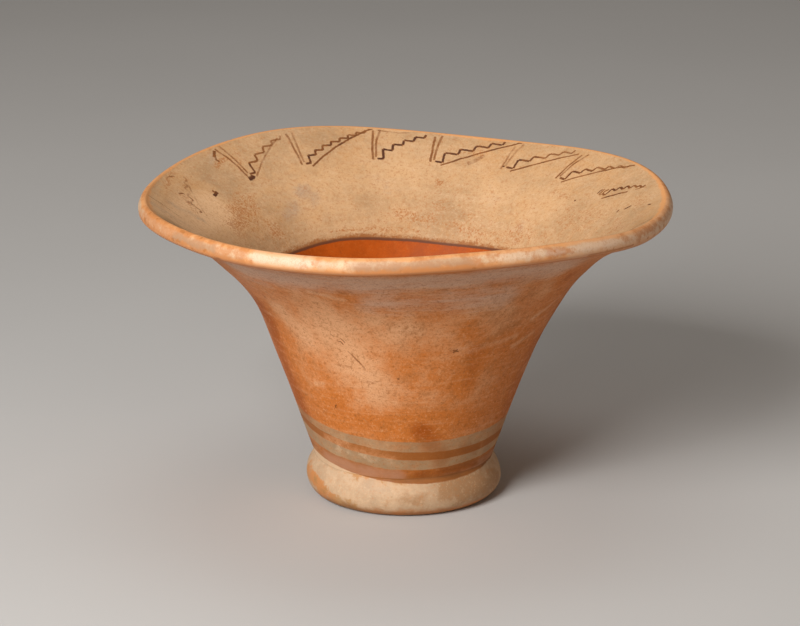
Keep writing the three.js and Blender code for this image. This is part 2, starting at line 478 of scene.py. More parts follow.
FOOT_MARKS = marks(
    OUTSIDE,
    worn=(
        ((190, 14.0, 214, 11.0), 9.0, 1.0),
        ((210, 8.0, 238, 5.0), 7.0, 0.9),
    ),
    dark=(
        ((206, 13.0, 216, 10.0), 8.0, 0.5),
        ((263.2, 14.5), 1.2, 0.9),
        ((300.1, 7.0), 2.4, 0.8),
        ((303, 17.8), 2.2, 0.5),
    ),
    deep=(
        ((270, 12.5, 284, 12.0), 9.0, 0.8),
        # Painted shade on the foot's right
        ((298, 18.0, 340, 12.0), 19.0, 1.7),
    ),
    grey=(
        ((196, 22, 240, 22), 9, 0.6),
        # Painted shade on the foot's right
        ((300, 24, 340, 24), 9, 0.6),
        ((325, 12, 345, 12), 12, 0.5),
        ((236, 18, 248, 18), 8, 0.4),
    ),
)

# Wear all round the back of the outside and the front of the inside: kind, side, how many, and the
# ranges of their angles, levels, reach and strength

SCATTER_SEED = 11
CHIP_DEPTH = 0.3
SCATTER = (
    ("dark", OUTSIDE, 26, (0, 176), (62, 172), (1.5, 8), (0.35, 0.9)),
    ("pale", OUTSIDE, 12, (0, 176), (62, 172), (4, 26), (0.4, 0.9)),
    ("deep", OUTSIDE, 9, (0, 176), (62, 160), (14, 34), (0.4, 0.9)),
    ("grey", OUTSIDE, 6, (0, 176), (140, 176), (12, 24), (0.3, 0.6)),
    ("deep", INSIDE, 14, (190, 350), (142, 190), (4, 18), (0.3, 0.8)),
    ("grey", INSIDE, 8, (190, 350), (145, 188), (8, 18), (0.3, 0.7)),
    ("dark", INSIDE, 8, (190, 350), (145, 190), (1.2, 3), (0.5, 0.9)),
    ("worn", OUTSIDE, 22, (5, 178), (184, 194), (1.6, 3.2), (0.7, 1.0)),
    ("worn", OUTSIDE, 9, (5, 178), (3, 18), (2.5, 7), (0.6, 1.0)),
    ("deep", OUTSIDE, 5, (5, 178), (6, 20), (4, 9), (0.4, 0.8)),
)


def scattered_marks():
    """Marks at seeded places"""
    rng = np.random.default_rng(SCATTER_SEED)
    scattered = []
    for kind, side, count, angles, levels, reaches, strengths in SCATTER:
        for _ in range(count):
            place = (rng.uniform(*angles), rng.uniform(*levels))
            reach, strength = rng.uniform(*reaches), rng.uniform(*strengths)
            dent = CHIP_DEPTH if kind == "worn" and place[1] > COURSE_TOPS[1] else 0.0
            scattered.append(Mark(kind, side, place, reach, strength, dent))
    return tuple(scattered)


MARKS = WALL_MARKS + FLARE_MARKS + LIP_MARKS + FOOT_MARKS + scattered_marks()


def nearness(spot, face, angle, level):
    """How near points are to a mark, from 1 on it to 0 at its reach"""
    start = spot.place[:2]
    radius = face.at_level(start[1], face.points[:, 0])
    stretch = face.at_level(start[1], face.stretch)
    across = ((angle - math.radians(start[0]) + math.pi) % math.tau - math.pi) * radius
    up = (level - start[1]) * stretch
    if len(spot.place) == 4:
        turn = (math.radians(spot.place[2] - start[0]) + math.pi) % math.tau - math.pi
        reach_across = turn * radius
        reach_up = (spot.place[3] - start[1]) * stretch
        share = (across * reach_across + up * reach_up) / (reach_across ** 2 + reach_up ** 2)
        share = np.clip(share, 0, 1)
        across = across - share * reach_across
        up = up - share * reach_up
    return smooth(1 - np.hypot(across, up) / spot.reach, 0, 1)


# Rubbed edges of the lip: how far the wear reaches outwards and inwards from the ridge, and from the
# lower edge, and where round the rim it reaches further inwards: angle, spread and how much further

RIDGE_RUB_OUT = 4.8
RIDGE_RUB_IN = 2.2
EDGE_RUB = 7.0
RUB_WIDER = ((350, 24, 2.0), (72, 10, 0.7), (150, 16, 0.3), (190, 16, 2.2))


def rubbed(pot, radius, level, angle):
    """How near points are to the lip's ridge or lower edge, from 1 on it to 0 where the wear ends"""
    wider = 1.0
    for at, spread, more in RUB_WIDER:
        turn = (np.degrees(angle) - at + 180) % 360 - 180
        wider = wider + more * np.exp(-((turn / spread) ** 2))
    ridge = np.hypot(radius - pot.ridge[0] - 0.4, level - pot.ridge[1])
    edge = np.hypot(radius - pot.lip_edge[0] - 1.2, level - pot.lip_edge[1] - 0.8)
    reach = np.where(radius > pot.ridge[0], RIDGE_RUB_OUT, RIDGE_RUB_IN * wider)
    near = np.maximum(1 - ridge / reach, 1 - edge / EDGE_RUB)
    return np.maximum(near, 0)


def band_level(angle, level):
    """Level measured from the painted bands, which wander up and down round the pot"""
    drift = sum(a * np.cos(count * angle) + b * np.sin(count * angle) for count, a, b in BAND_DRIFT)
    own = level - drift
    return own - np.interp(own, BAND_EDGES, BAND_SKEW) * np.cos(angle)


def write(mesh, name, values):
    layer = mesh.attributes.new(name, "FLOAT", "POINT")
    layer.data.foreach_set("value", np.ascontiguousarray(values, dtype=np.float32))


def read_points(mesh):
    places = np.empty(len(mesh.vertices) * 3, dtype=np.float32)
    mesh.vertices.foreach_get("co", places)
    return places.reshape(-1, 3).astype(float)


def read_normals(mesh):
    ways = np.empty(len(mesh.vertices) * 3, dtype=np.float32)
    mesh.vertex_normals.foreach_get("vector", ways)
    return ways.reshape(-1, 3).astype(float)


def place_on_pot(mesh, pot, inner=None, dents=True):
    """Write what the materials read at each point, dent it and move it to its place, in metres"""
    points = read_points(mesh)
    level = points[:, 2]
    angle = np.arctan2(points[:, 1], points[:, 0])
    radius = np.hypot(points[:, 0], points[:, 1])
    if inner is None:
        inner = radius < np.interp(level, pot.middle[:, 1], pot.middle[:, 0])
    depth = np.zeros(len(points))
    amounts = {kind: np.zeros(len(points)) for kind in KINDS}
    for spot in MARKS:
        near = nearness(spot, pot.faces[spot.side], angle, level) * (inner == (spot.side == INSIDE))
        amounts[spot.kind] = np.maximum(amounts[spot.kind], near * spot.strength)
        depth = np.maximum(depth, near * spot.dent)
    for kind, values in amounts.items():
        write(mesh, kind, values)
    write(mesh, "inner", inner)
    write(mesh, "level", level)
    write(mesh, "band_level", band_level(angle, level))
    write(mesh, "rubbed", rubbed(pot, radius, level, angle))
    if dents:
        points = points - read_normals(mesh) * depth[:, None]
    mesh.vertices.foreach_set("co", np.ascontiguousarray(pot.placed(points) * MM, dtype=np.float32).ravel())
    mesh.update()


def add_piece(name, mesh):
    piece = bpy.data.objects.new(name, mesh)
    bpy.context.scene.collection.objects.link(piece)
    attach(piece, "root")
    return piece


SHARP = math.radians(35)
FACING_DOWN = -0.9


def revolve(node, section, pot, steps=STEPS_ROUND):
    """Spin a closed section of (radius, height) points into the piece that stands for a CAD node"""
    bm = bmesh.new()
    ring = [bm.verts.new((radius, 0.0, height)) for radius, height in section]
    pairs = list(zip(ring, ring[1:]))
    if section[0][0] > 0:
        pairs.append((ring[-1], ring[0]))
    edges = [bm.edges.new(pair) for pair in pairs]
    bmesh.ops.spin(bm, geom=ring + edges, axis=(0, 0, 1), cent=(0, 0, 0), dvec=(0, 0, 0),
                   angle=math.tau / SECTORS, steps=steps // SECTORS, use_duplicate=False)
    sector = bm.verts[:] + bm.edges[:] + bm.faces[:]
    for number in range(1, SECTORS):
        copy = bmesh.ops.duplicate(bm, geom=sector)["geom"]
        turn = Matrix.Rotation(math.tau * number / SECTORS, 3, "Z")
        points = [item for item in copy if isinstance(item, bmesh.types.BMVert)]
        bmesh.ops.rotate(bm, verts=points, cent=(0, 0, 0), matrix=turn)
    bmesh.ops.remove_doubles(bm, verts=bm.verts, dist=1e-3)
    bmesh.ops.recalc_face_normals(bm, faces=bm.faces)
    mesh = bpy.data.meshes.new(node + "_clay")
    bm.to_mesh(mesh)
    bm.free()
    mesh.shade_smooth()
    mesh.set_sharp_from_angle(angle=SHARP)
    place_on_pot(mesh, pot)
    piece = add_piece(node + "_clay", mesh)
    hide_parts(node)
    return piece


# Materials

class Val:
    """A shader socket that can be used in Python expressions"""

    def __init__(self, tree, socket):
        self.tree = tree
        self.socket = socket

    def _math(self, operation, *values):
        return self.tree.node("ShaderNodeMath", {"operation": operation}, values)

    def __add__(self, other):
        return self._math("ADD", self, other)

    def __radd__(self, other):
        return self._math("ADD", other, self)

    def __sub__(self, other):
        return self._math("SUBTRACT", self, other)

    def __rsub__(self, other):
        return self._math("SUBTRACT", other, self)

    def __mul__(self, other):
        return self._math("MULTIPLY", self, other)

    def __rmul__(self, other):
        return self._math("MULTIPLY", other, self)

    def size(self):
        return self._math("ABSOLUTE", self)

    def swing(self, reach):
        """A noise turned into a swing up and down from nothing"""
        return (self - 0.5) * reach

    def clamp(self):
        return self.tree.node("ShaderNodeClamp", {}, (self, 0.0, 1.0))


class Finish:
    """A material's node tree, with short ways to the nodes that the finishes use"""

    def __init__(self, name):
        self.material = bpy.data.materials.new(name)
        self.material.use_nodes = True
        self.nodes = self.material.node_tree.nodes
        self.links = self.material.node_tree.links
        self.shader = self.nodes["Principled BSDF"]
        self.place = self.node("ShaderNodeTexCoord", {}, (), "Object")
        self.known = {}

    def node(self, kind, settings, values, output=0):
        node = self.nodes.new(kind)
        for key, value in settings.items():
            setattr(node, key, value)
        for index, value in enumerate(values):
            self.feed(node.inputs[index], value)
        return Val(self, node.outputs[output])

    def feed(self, socket, value):
        if isinstance(value, Val):
            self.links.new(value.socket, socket)
        else:
            socket.default_value = value

    def read(self, name):
        """A value written at the mesh's points"""
        if name not in self.known:
            self.known[name] = self.node("ShaderNodeAttribute", {"attribute_name": name}, (), "Fac")
        return self.known[name]

    def noise(self, scale, detail=4.0, roughness=0.6, stretch=(1, 1, 1), shift=0.0):
        """Noise with features of about 1 / scale metres, stretched and shifted"""
        spot = self.node("ShaderNodeMapping", {}, (self.place, (shift, shift, shift), (0, 0, 0), stretch))
        node = self.nodes.new("ShaderNodeTexNoise")
        self.feed(node.inputs["Vector"], spot)
        node.inputs["Scale"].default_value = scale
        node.inputs["Detail"].default_value = detail
        node.inputs["Roughness"].default_value = roughness
        return Val(self, node.outputs["Fac"])

    def step(self, value, low, high, to_low=0.0, to_high=1.0):
        node = self.nodes.new("ShaderNodeMapRange")
        node.interpolation_type = "SMOOTHSTEP"
        for index, item in enumerate((value, low, high, to_low, to_high)):
            self.feed(node.inputs[index], item)
        return Val(self, node.outputs[0])

    def mix(self, share, first, second):
        node = self.nodes.new("ShaderNodeMix")
        node.data_type = "RGBA"
        self.feed(node.inputs[0], share)
        for socket, colour in ((node.inputs[6], first), (node.inputs[7], second)):
            if not isinstance(colour, Val):
                colour = (*colour[:3], 1.0)
            self.feed(socket, colour)
        return Val(self, node.outputs[2])

    def lay(self, under, over, value, low, high, share=1.0):
        """Lay a colour over another: not at all where value is low, and up to share where it is high"""
        return self.mix(self.step(value, low, high, 0.0, share), under, over)

    def shaded(self, colour, dark, light, value, low, high):
        """A colour at a darker share of itself where value is low and a lighter one where it is high"""
        return self.lay(scaled(colour, dark), scaled(colour, light), value, low, high)

    def done(self, colour, roughness, height, depth, shine):
        self.shader.inputs["Specular IOR Level"].default_value = shine
        self.feed(self.shader.inputs["Base Color"], colour)
        self.feed(self.shader.inputs["Roughness"], roughness)
        bump = self.nodes.new("ShaderNodeBump")
        bump.inputs["Distance"].default_value = depth
        self.feed(bump.inputs["Height"], height)
        self.links.new(bump.outputs[0], self.shader.inputs["Normal"])
        return self.material


def scaled(colour, share):
    return tuple(min(c * share, 1.0) for c in colour)


ROUND_THE_POT = (1, 1, 12)
SLIP_RELIEF = 0.00022

# Slip, paint and clay where they are thin, smoked, rubbed or worn, and tones that paint highlight and shade

DEEP_ORANGE = (0.34, 0.075, 0.006)
ROSY_BROWN = (0.42, 0.215, 0.13)
DARK_BROWN = (0.2, 0.05, 0.008)
WARM_BUFF = (0.56, 0.29, 0.11)
# Light buff, which at the flare's left end paints light into its shade
LIGHT_BUFF = (0.78, 0.5, 0.28)
SMOKED_BUFF = (0.36, 0.27, 0.2)
FLAKED_BUFF = (0.5, 0.2, 0.06)
# Whiter lip tone that paints the key light's highlight, and light on the lip's shaded right end
LIP_PAINTED_LIGHT = (0.69, 0.49, 0.36)
BLUSHED_LIP = (0.5, 0.22, 0.095)
ASHEN_LIP = (0.58, 0.43, 0.34)
# Darker lip tone that paints shade on the lip's front and left
LIP_PAINTED_SHADE = (0.38, 0.215, 0.12)
CHIPPED_LIP = (0.42, 0.16, 0.045)
RUBBED_CLAY = (0.68, 0.3, 0.105)
RUBBED_RED = (0.52, 0.2, 0.06)
RUBBED_LOW_EDGE = (0.52, 0.2, 0.065)
# Grey foot tone; on the foot's right it paints shade
GREY_FOOT_TONE = (0.5, 0.38, 0.26)
# Ochre that paints shade on the foot's right, and darker patches elsewhere on the foot
OCHRE_FOOT = (0.31, 0.17, 0.08)
WORN_FOOT = ((0.5, 0.19, 0.05), (0.4, 0.21, 0.08))
WORN_FOOT_EDGE = (0.3, 0.13, 0.04)
STAINED_FOOT = (0.25, 0.16, 0.06)
ROSY_FOOT_BAND = (0.42, 0.22, 0.12)

# How far, in mm of level, the edges of the painted bands fade, and where the lip's lower edge and its
# underside begin and are complete

EDGE_FADE = 0.3
BAND_FADE = 0.35
LIP_LOW_EDGE = (187.8, 185.6)
LIP_UNDERSIDE = (184.5, 184.0)


class Burnish:
    """Noises that every slip shares: strokes round the pot, grain, specks, pits and their relief"""

    def __init__(self, finish):
        self.strokes = finish.noise(32.0, 3.0, 0.55, stretch=ROUND_THE_POT)
        self.threads = finish.noise(70.0, 2.0, 0.5, stretch=(1, 1, 16), shift=0.4)
        self.grain = finish.noise(1500.0, 2.0, 0.6)
        self.specks = finish.noise(620.0, 3.0, 0.65, shift=0.2)
        self.flecks = finish.noise(340.0, 4.0, 0.75, shift=0.55)
        self.pits = finish.step(finish.noise(300.0, 1.0, 0.4, shift=0.7), 0.26, 0.21)
        lumps = finish.noise(85.0, 3.0, 0.5, shift=0.9)
        fine = self.strokes * 0.5 + self.threads * 0.25 + self.grain * 0.22
        self.height = fine + lumps * 0.8 - self.pits * 0.45


def freckle(finish, burnish, base, dark, pale, dark_share, pale_share):
    """Break a slip's colour up with fine dark and pale grain"""
    base = finish.lay(base, dark, burnish.specks, 0.56, 0.68, dark_share)
    base = finish.lay(base, pale, burnish.specks, 0.42, 0.32, pale_share)
    base = finish.lay(base, dark, burnish.flecks, 0.53, 0.66, dark_share * 0.8)
    base = finish.lay(base, pale, burnish.flecks, 0.46, 0.33, pale_share * 0.8)
    base = finish.lay(base, dark, burnish.grain, 0.54, 0.64, dark_share * 0.6)
    return finish.mix(burnish.pits * 0.3, base, dark)


def flaked_share(finish):
    """Where slip has flaked off, with ragged edges"""
    ragged = finish.noise(240.0, 4.0, 0.7, shift=0.3).swing(1.2)
    return finish.step(finish.read("worn") + ragged, 0.42, 0.56)


def rubbed_share(finish):
    """Where the lip's edges are rubbed through"""
    fray = finish.noise(90.0, 4.0, 0.65, shift=0.6).swing(0.9)
    return finish.step(finish.read("rubbed") + fray, 0.2, 0.62)


def brushed_level(finish, mottle):
    """Level measured from the painted bands, as unsteady as the brush was"""
    wander = finish.noise(75.0, 3.0, 0.6, shift=0.35).swing(1.6) + mottle.swing(0.9)
    return finish.read("band_level") + wander


def brush_streaks(finish):
    return finish.noise(45.0, 4.0, 0.65, stretch=(1, 1, 5), shift=0.15)


def outside_slip(finish, colours):
    """Orange slip with paler clouds and brown speckle, and the painted bands low on the wall, with painted
    highlight and shade on the wall and bands and painted light under the lip
    """
    burnish = Burnish(finish)
    clouds = finish.noise(10.0, 5.0, 0.6, shift=0.13)
    patches = finish.noise(36.0, 5.0, 0.66, shift=0.5)
    mottle = finish.noise(150.0, 4.0, 0.7, shift=0.8)
    drift = clouds.swing(2.6) + patches.swing(2.2) + mottle.swing(1.3)
    pale = finish.read("pale") + drift - finish.read("deep") * 0.9
    base = finish.lay(colours.orange, colours.tan, pale, -0.6, 1.15)
    # Deep orange where deep marks lie: deeper slip in places, and painted shade along both edges, under the
    # lip on the right and over the bands
    deepest = finish.step(finish.read("deep") + mottle.swing(1.0) + patches.swing(1.8), 0.6, 1.8)
    base = finish.mix(deepest, base, DEEP_ORANGE)
    ruddy = finish.noise(26.0, 5.0, 0.7, shift=0.27)
    base = finish.lay(base, scaled(colours.clay, 0.78), ruddy + mottle.swing(0.7), 0.5, 0.72, 0.55)
    base = finish.lay(base, scaled(colours.tan, 1.12), burnish.strokes, 0.5, 0.72, 0.2)
    base = finish.lay(base, scaled(colours.orange, 0.7), burnish.threads, 0.46, 0.3, 0.14)
    # Grey tone: firing clouds, and under the lip, where it is lighter than the slip, painted light that
    # fills the lip's shade
    grey_tone = finish.read("grey") + burnish.strokes.swing(1.0) + patches.swing(1.1)
    base = finish.lay(base, colours.grey_tone, grey_tone, 0.1, 1.1, 0.82)
    stipple = finish.noise(420.0, 3.0, 0.7, shift=0.19)
    brown = finish.read("dark") + stipple.swing(2.0) + mottle.swing(1.5)
    base = finish.lay(base, scaled(colours.clay, 0.6), brown, 0.4, 1.25, 0.62)
    dark, light = scaled(colours.clay, 0.58), scaled(colours.tan, 1.1)
    base = freckle(finish, burnish, base, dark, light, 0.55, 0.36)

    level = brushed_level(finish, mottle)
    low, brown_top, stripe_low, stripe_top, top = BAND_EDGES
    streaks = brush_streaks(finish)
    under = finish.step(level, brown_top + EDGE_FADE, brown_top - EDGE_FADE)
    base = finish.mix(under * finish.step(streaks, 0.3, 0.7, 0.9, 0.4), base, scaled(colours.clay, 0.6))
    rosy = finish.read("worn") + patches.swing(2.0)
    base = finish.mix(under * finish.step(rosy, 0.2, 1.0, 0.0, 0.7), base, ROSY_BROWN)
    # The brown band turns dark brown where deep marks lie, which right of the front is painted shade
    base = finish.mix(under * deepest * 0.7, base, DARK_BROWN)
    # Cream under the bands is lighter than the foot's: painted light against the shade of the neck's crease
    cream = finish.shaded(colours.cream, 0.95, 1.15, patches, 0.3, 0.7)
    base = finish.lay(base, cream, level, low + EDGE_FADE, low - EDGE_FADE)
    stripe = finish.step(level, stripe_low - EDGE_FADE, stripe_low + EDGE_FADE)
    stripe = stripe * finish.step(level, stripe_top + EDGE_FADE, stripe_top)
    # The orange stripe between the bands is paler under the painted highlight on their left
    base = finish.mix(stripe * finish.step(pale, 0.9, -0.3, 0.25, 0.85), base, scaled(colours.clay, 0.62))
    cover = finish.step(streaks * 0.5 + mottle * 0.5, 0.34, 0.6, 0.62, 0.95)
    for band_low, band_top, thick in ((brown_top, stripe_low, 1.0), (stripe_top, top, 0.86)):
        band = finish.step(level, band_low - BAND_FADE, band_low + BAND_FADE)
        band = band * finish.step(level, band_top + BAND_FADE, band_top - BAND_FADE)
        tone = finish.shaded(colours.band, 0.86, 1.14, patches, 0.35, 0.65)
        # On the bands the pale marks are a painted highlight on their left, turning the band tone cream
        tone = finish.lay(tone, scaled(colours.cream, 0.9), pale, 0.4, 1.2)
        # Band tone darkened where deep marks lie, which over the bands right of the front is painted shade
        tone = finish.mix(deepest * 0.6, tone, scaled(colours.clay, 0.62))
        tone = finish.lay(tone, scaled(colours.clay, 0.8), burnish.specks, 0.55, 0.68, 0.45)
        base = finish.mix(band * cover * thick, base, tone)
    roughness = finish.step(patches, 0.3, 0.7, 0.46, 0.62)
    return base, roughness, burnish


def inside_slip(finish, colours):
    """Buff slip in the flare, a dark painted line, and deep orange slip down in the well, with painted light
    on the flare's left end
    """
    burnish = Burnish(finish)
    clouds = finish.noise(13.0, 5.0, 0.62, shift=0.23)
    patches = finish.noise(48.0, 5.0, 0.68, shift=0.56)
    mottle = finish.noise(190.0, 4.0, 0.72, shift=0.83)
    tone = finish.read("pale") * 0.7 + clouds.swing(3.0) + patches.swing(2.4) + mottle.swing(0.8)
    buff = finish.shaded(colours.buff, 0.78, 1.16, tone, -0.9, 0.9)
    warm = finish.noise(20.0, 5.0, 0.66, shift=0.91)
    buff = finish.lay(buff, WARM_BUFF, warm + mottle.swing(0.4), 0.46, 0.72, 0.5)
    buff = finish.lay(buff, colours.cream, burnish.strokes, 0.45, 0.7, 0.2)
    # Lighter buff where pale marks lie, which at the flare's left end is painted light
    light = finish.read("pale") + patches.swing(1.0)
    buff = finish.lay(buff, LIGHT_BUFF, light, 0.7, 1.7, 0.8)
    grey_tone = finish.read("grey") + patches.swing(3.0) + mottle.swing(1.0)
    buff = finish.lay(buff, SMOKED_BUFF, grey_tone, 0.15, 1.1, 0.6)
    stipple = finish.noise(760.0, 3.0, 0.7, shift=0.19)
    stain = finish.read("deep") + stipple.swing(4.2) + patches.swing(2.4)
    buff = finish.lay(buff, scaled(colours.clay, 0.85), stain, 0.45, 1.2, 0.75)
    spots = finish.read("dark") + mottle.swing(0.8)
    buff = finish.lay(buff, scaled(colours.paint, 2.0), spots, 0.4, 0.6, 0.8)
    dark, light = scaled(colours.clay, 0.85), scaled(colours.cream, 1.1)
    buff = freckle(finish, burnish, buff, dark, light, 0.42, 0.36)
    buff = finish.mix(flaked_share(finish) * 0.8, buff, FLAKED_BUFF)
    buff = finish.mix(rubbed_share(finish) * 0.75, buff, RUBBED_CLAY)

    wander = finish.noise(38.0, 2.0, 0.5, shift=0.66).swing(1.2) + mottle.swing(0.7)
    level = finish.read("level") + wander
    halo = finish.step(level, WELL_LINE + 6.0, WELL_LINE + 0.6)
    halo = finish.step(stipple * 0.6 + mottle.swing(0.7) + halo * 0.5, 0.48, 0.84, 0.0, 0.9)
    buff = finish.mix(halo, buff, scaled(colours.clay, 0.66))
    well = finish.shaded(colours.well, 0.86, 1.12, clouds + patches, 0.8, 1.2)
    well = freckle(finish, burnish, well, scaled(colours.well, 0.6), colours.orange, 0.25, 0.2)
    base = finish.lay(well, buff, level, WELL_LINE - 0.7, WELL_LINE + 0.3)
    line = finish.step(level, WELL_LINE - 1.0, WELL_LINE - 0.4)
    line = line * finish.step(level, WELL_LINE + 1.5, WELL_LINE + 0.3)
    base = finish.mix(line * 0.92, base, scaled(colours.paint, 1.4))
    roughness = finish.step(patches, 0.3, 0.7, 0.5, 0.66)
    return base, roughness, burnish


def lip_slip(finish, colours):
    """Cream slip on the lip, worn through to orange clay on its edges and in chips, with a painted
    highlight, painted light on its right end and painted shade on its front and left
    """
    burnish = Burnish(finish)
    clouds = finish.noise(24.0, 5.0, 0.65, shift=0.43)
    patches = finish.noise(95.0, 4.0, 0.7, shift=0.76)
    tone = finish.read("pale") * 0.6 + clouds.swing(3.0) + patches.swing(2.2)
    cream = finish.shaded(colours.cream, 0.84, 1.14, tone, -0.9, 0.9)
    # Painted highlight and painted light: a whiter cream where the lip's pale marks lie
    painted_lip_light = finish.read("pale") + patches.swing(0.9)
    cream = finish.lay(cream, LIP_PAINTED_LIGHT, painted_lip_light, 0.1, 1.3, 0.85)
    mottle = finish.noise(210.0, 4.0, 0.72, shift=0.33)
    blush = finish.noise(42.0, 5.0, 0.7, shift=0.29) + patches.swing(0.9) + mottle.swing(0.7)
    blush = blush + finish.read("deep") * 0.28 - finish.read("pale") * 0.1
    cream = finish.lay(cream, BLUSHED_LIP, blush, 0.46, 0.74, 0.85)
    ashen = finish.read("grey") + patches.swing(2.0)
    cream = finish.lay(cream, ASHEN_LIP, ashen, 0.2, 1.0, 0.6)
    cream = freckle(finish, burnish, cream, colours.clay, scaled(colours.cream, 1.2), 0.3, 0.25)
    # Painted shade: a darker cream where the lip's dark marks lie
    painted_lip_shade = finish.read("dark") + patches.swing(1.2)
    cream = finish.lay(cream, LIP_PAINTED_SHADE, painted_lip_shade, 0.1, 1.0, 0.85)
    rubbed_tone = finish.lay(RUBBED_CLAY, RUBBED_RED, blush, 0.4, 0.75)
    rubbed_tone = finish.lay(rubbed_tone, RUBBED_LOW_EDGE, finish.read("level"), *LIP_LOW_EDGE)
    whole = finish.step(finish.read("pale"), 0.1, 1.0, 0.85, 0.4)
    cream = finish.mix(rubbed_share(finish) * whole, cream, rubbed_tone)
    base = finish.mix(flaked_share(finish) * 0.85, cream, CHIPPED_LIP)
    under = finish.step(finish.read("level") + patches.swing(0.5), *LIP_UNDERSIDE)
    base = finish.mix(under * 0.9, base, scaled(colours.orange, 0.85))
    roughness = finish.step(patches, 0.3, 0.7, 0.4, 0.56)
    return base, roughness, burnish


def foot_slip(finish, colours):
    """Cream slip on the foot, worn to clay in patches and along the resting edge, under the brown band;
    darkened all over, more on its right, as painted shade
    """
    burnish = Burnish(finish)
    clouds = finish.noise(30.0, 5.0, 0.62, shift=0.53)
    patches = finish.noise(110.0, 4.0, 0.7, shift=0.86)
    mottle = finish.noise(150.0, 4.0, 0.7, shift=0.8)
    tone = clouds.swing(3.0) + patches.swing(2.4)
    # The foot's cream is darker than the lip's and the wall's: painted shade for the lower light the foot
    # gets
    cream = finish.shaded(colours.cream, 0.66, 0.9, tone, -0.9, 0.9)
    # Grey tone where grey marks lie, which on the foot's right is painted shade
    grey_tone = finish.read("grey") + patches.swing(2.2)
    cream = finish.lay(cream, GREY_FOOT_TONE, grey_tone, 0.2, 1.1, 0.6)
    # Ochre where deep marks lie: painted shade on the foot's right, darker patches elsewhere
    ochre = finish.read("deep") + patches.swing(3.0) + mottle.swing(1.5)
    cream = finish.lay(cream, OCHRE_FOOT, ochre, 0.2, 1.4, 0.85)
    dark, light = scaled(colours.clay, 1.1), scaled(colours.cream, 1.15)
    cream = freckle(finish, burnish, cream, dark, light, 0.22, 0.25)
    edge = finish.step(finish.read("level") + patches.swing(8.0), 7.5, 2.5, 0.0, 0.9)
    flakes = finish.read("worn") + patches.swing(2.0) + finish.noise(260.0, 3.0, 0.7, shift=0.3).swing(1.4)
    worn = finish.step(flakes, 0.3, 0.8, 0.0, 0.85)
    cream = finish.mix(worn, cream, finish.lay(*WORN_FOOT, clouds, 0.4, 0.62))
    bared = finish.lay(scaled(colours.clay, 1.05), WORN_FOOT_EDGE, clouds, 0.4, 0.62)
    base = finish.mix(edge, cream, bared)
    brown = finish.read("dark") + patches.swing(1.8)
    base = finish.lay(base, STAINED_FOOT, brown, 0.35, 0.9, 0.6)
    level = brushed_level(finish, mottle)
    streaks = brush_streaks(finish)
    band = finish.step(level, BAND_EDGES[0] - EDGE_FADE, BAND_EDGES[0] + EDGE_FADE)
    # The brown band is darker on the foot than on the wall: painted shade on the foot's upward face
    paint = finish.shaded(colours.clay, 0.42, 0.62, streaks, 0.3, 0.7)
    rosy = finish.read("pale") + patches.swing(2.0)
    paint = finish.lay(paint, ROSY_FOOT_BAND, rosy, 0.2, 1.0, 0.75)
    base = finish.mix(band * 0.95, base, paint)
    roughness = finish.step(patches, 0.3, 0.7, 0.5, 0.66)
    return base, roughness, burnish


def slip_material(name, slip, colours, shine):
    finish = Finish(name)
    colour, roughness, burnish = slip(finish, colours)
    return finish.done(colour, roughness, burnish.height, SLIP_RELIEF, shine)


def paint_material(colours):
    """Brown paint, broken and reddish where a stroke is faint, with nothing between its grains"""
    finish = Finish("brown_paint")
    burnish = Burnish(finish)
    strength = finish.read("stroke")
    fray = finish.noise(520.0, 3.0, 0.65, shift=0.61)
    gaps = finish.noise(150.0, 3.0, 0.6, shift=0.37)
    across = finish.read("across").size() + fray.swing(0.8)
    body = finish.step(across, 0.86, 0.34)
    hold = finish.step(strength + gaps * 0.9 + fray * 0.5, 0.62, 1.62)
    tone = finish.step(strength + gaps.swing(1.2), 0.45, 1.0)
    colour = finish.mix(tone, scaled(colours.clay, 0.7), colours.paint)
    finish.feed(finish.shader.inputs["Alpha"], (body * hold * 0.96).clamp())
    return finish.done(colour, finish.step(fray, 0.3, 0.7, 0.5, 0.66), burnish.height, SLIP_RELIEF, 0.2)


def bare_material(colours):
    """Unslipped fired clay with grit, on the underside"""
    finish = Finish("bare_clay")
    grit = finish.noise(300.0, 4.0, 0.6)
    clouds = finish.noise(18.0, 4.0, 0.6)
    base = finish.shaded(colours.clay, 1.15, 0.8, clouds, 0.3, 0.7)
    base = finish.lay(base, scaled(colours.band, 1.1), grit, 0.6, 0.7, 0.5)
    return finish.done(base, 0.85, grit, 0.0006, 0.2)


FINISHES = {
    OUTSIDE: lambda colours: slip_material("orange_slip_outside", outside_slip, colours, 0.1),
    INSIDE: lambda colours: slip_material("buff_slip_inside", inside_slip, colours, 0.2),
    "lip": lambda colours: slip_material("cream_slip_lip", lip_slip, colours, 0.2),
    "foot": lambda colours: slip_material("cream_slip_foot", foot_slip, colours, 0.2),
    "bare": bare_material,
    "paint": paint_material,
}
MADE = {}


def finish_for(kind):
    if kind not in MADE:
        MADE[kind] = FINISHES[kind](bpy.context.scene.bowl_colours)
    return MADE[kind]


def dress(piece, outside, inside=None):
    """Give a piece its outside finish, and another one on the faces that look into the bowl"""
    mesh = piece.data
    mesh.materials.append(finish_for(outside))
    if inside is None:
        return
    mesh.materials.append(finish_for(inside))
    inner = np.empty(len(mesh.vertices), dtype=np.float32)
    mesh.attributes["inner"].data.foreach_get("value", inner)
    starts = np.empty(len(mesh.polygons), dtype=np.int32)
    mesh.polygons.foreach_get("loop_start", starts)
    corners = np.empty(len(mesh.loops), dtype=np.int32)
    mesh.loops.foreach_get("vertex_index", corners)
    share = np.add.reduceat(inner[corners], starts) / np.diff(np.append(starts, len(corners)))
    mesh.polygons.foreach_set("material_index", (share > 0.5).astype(np.int32))


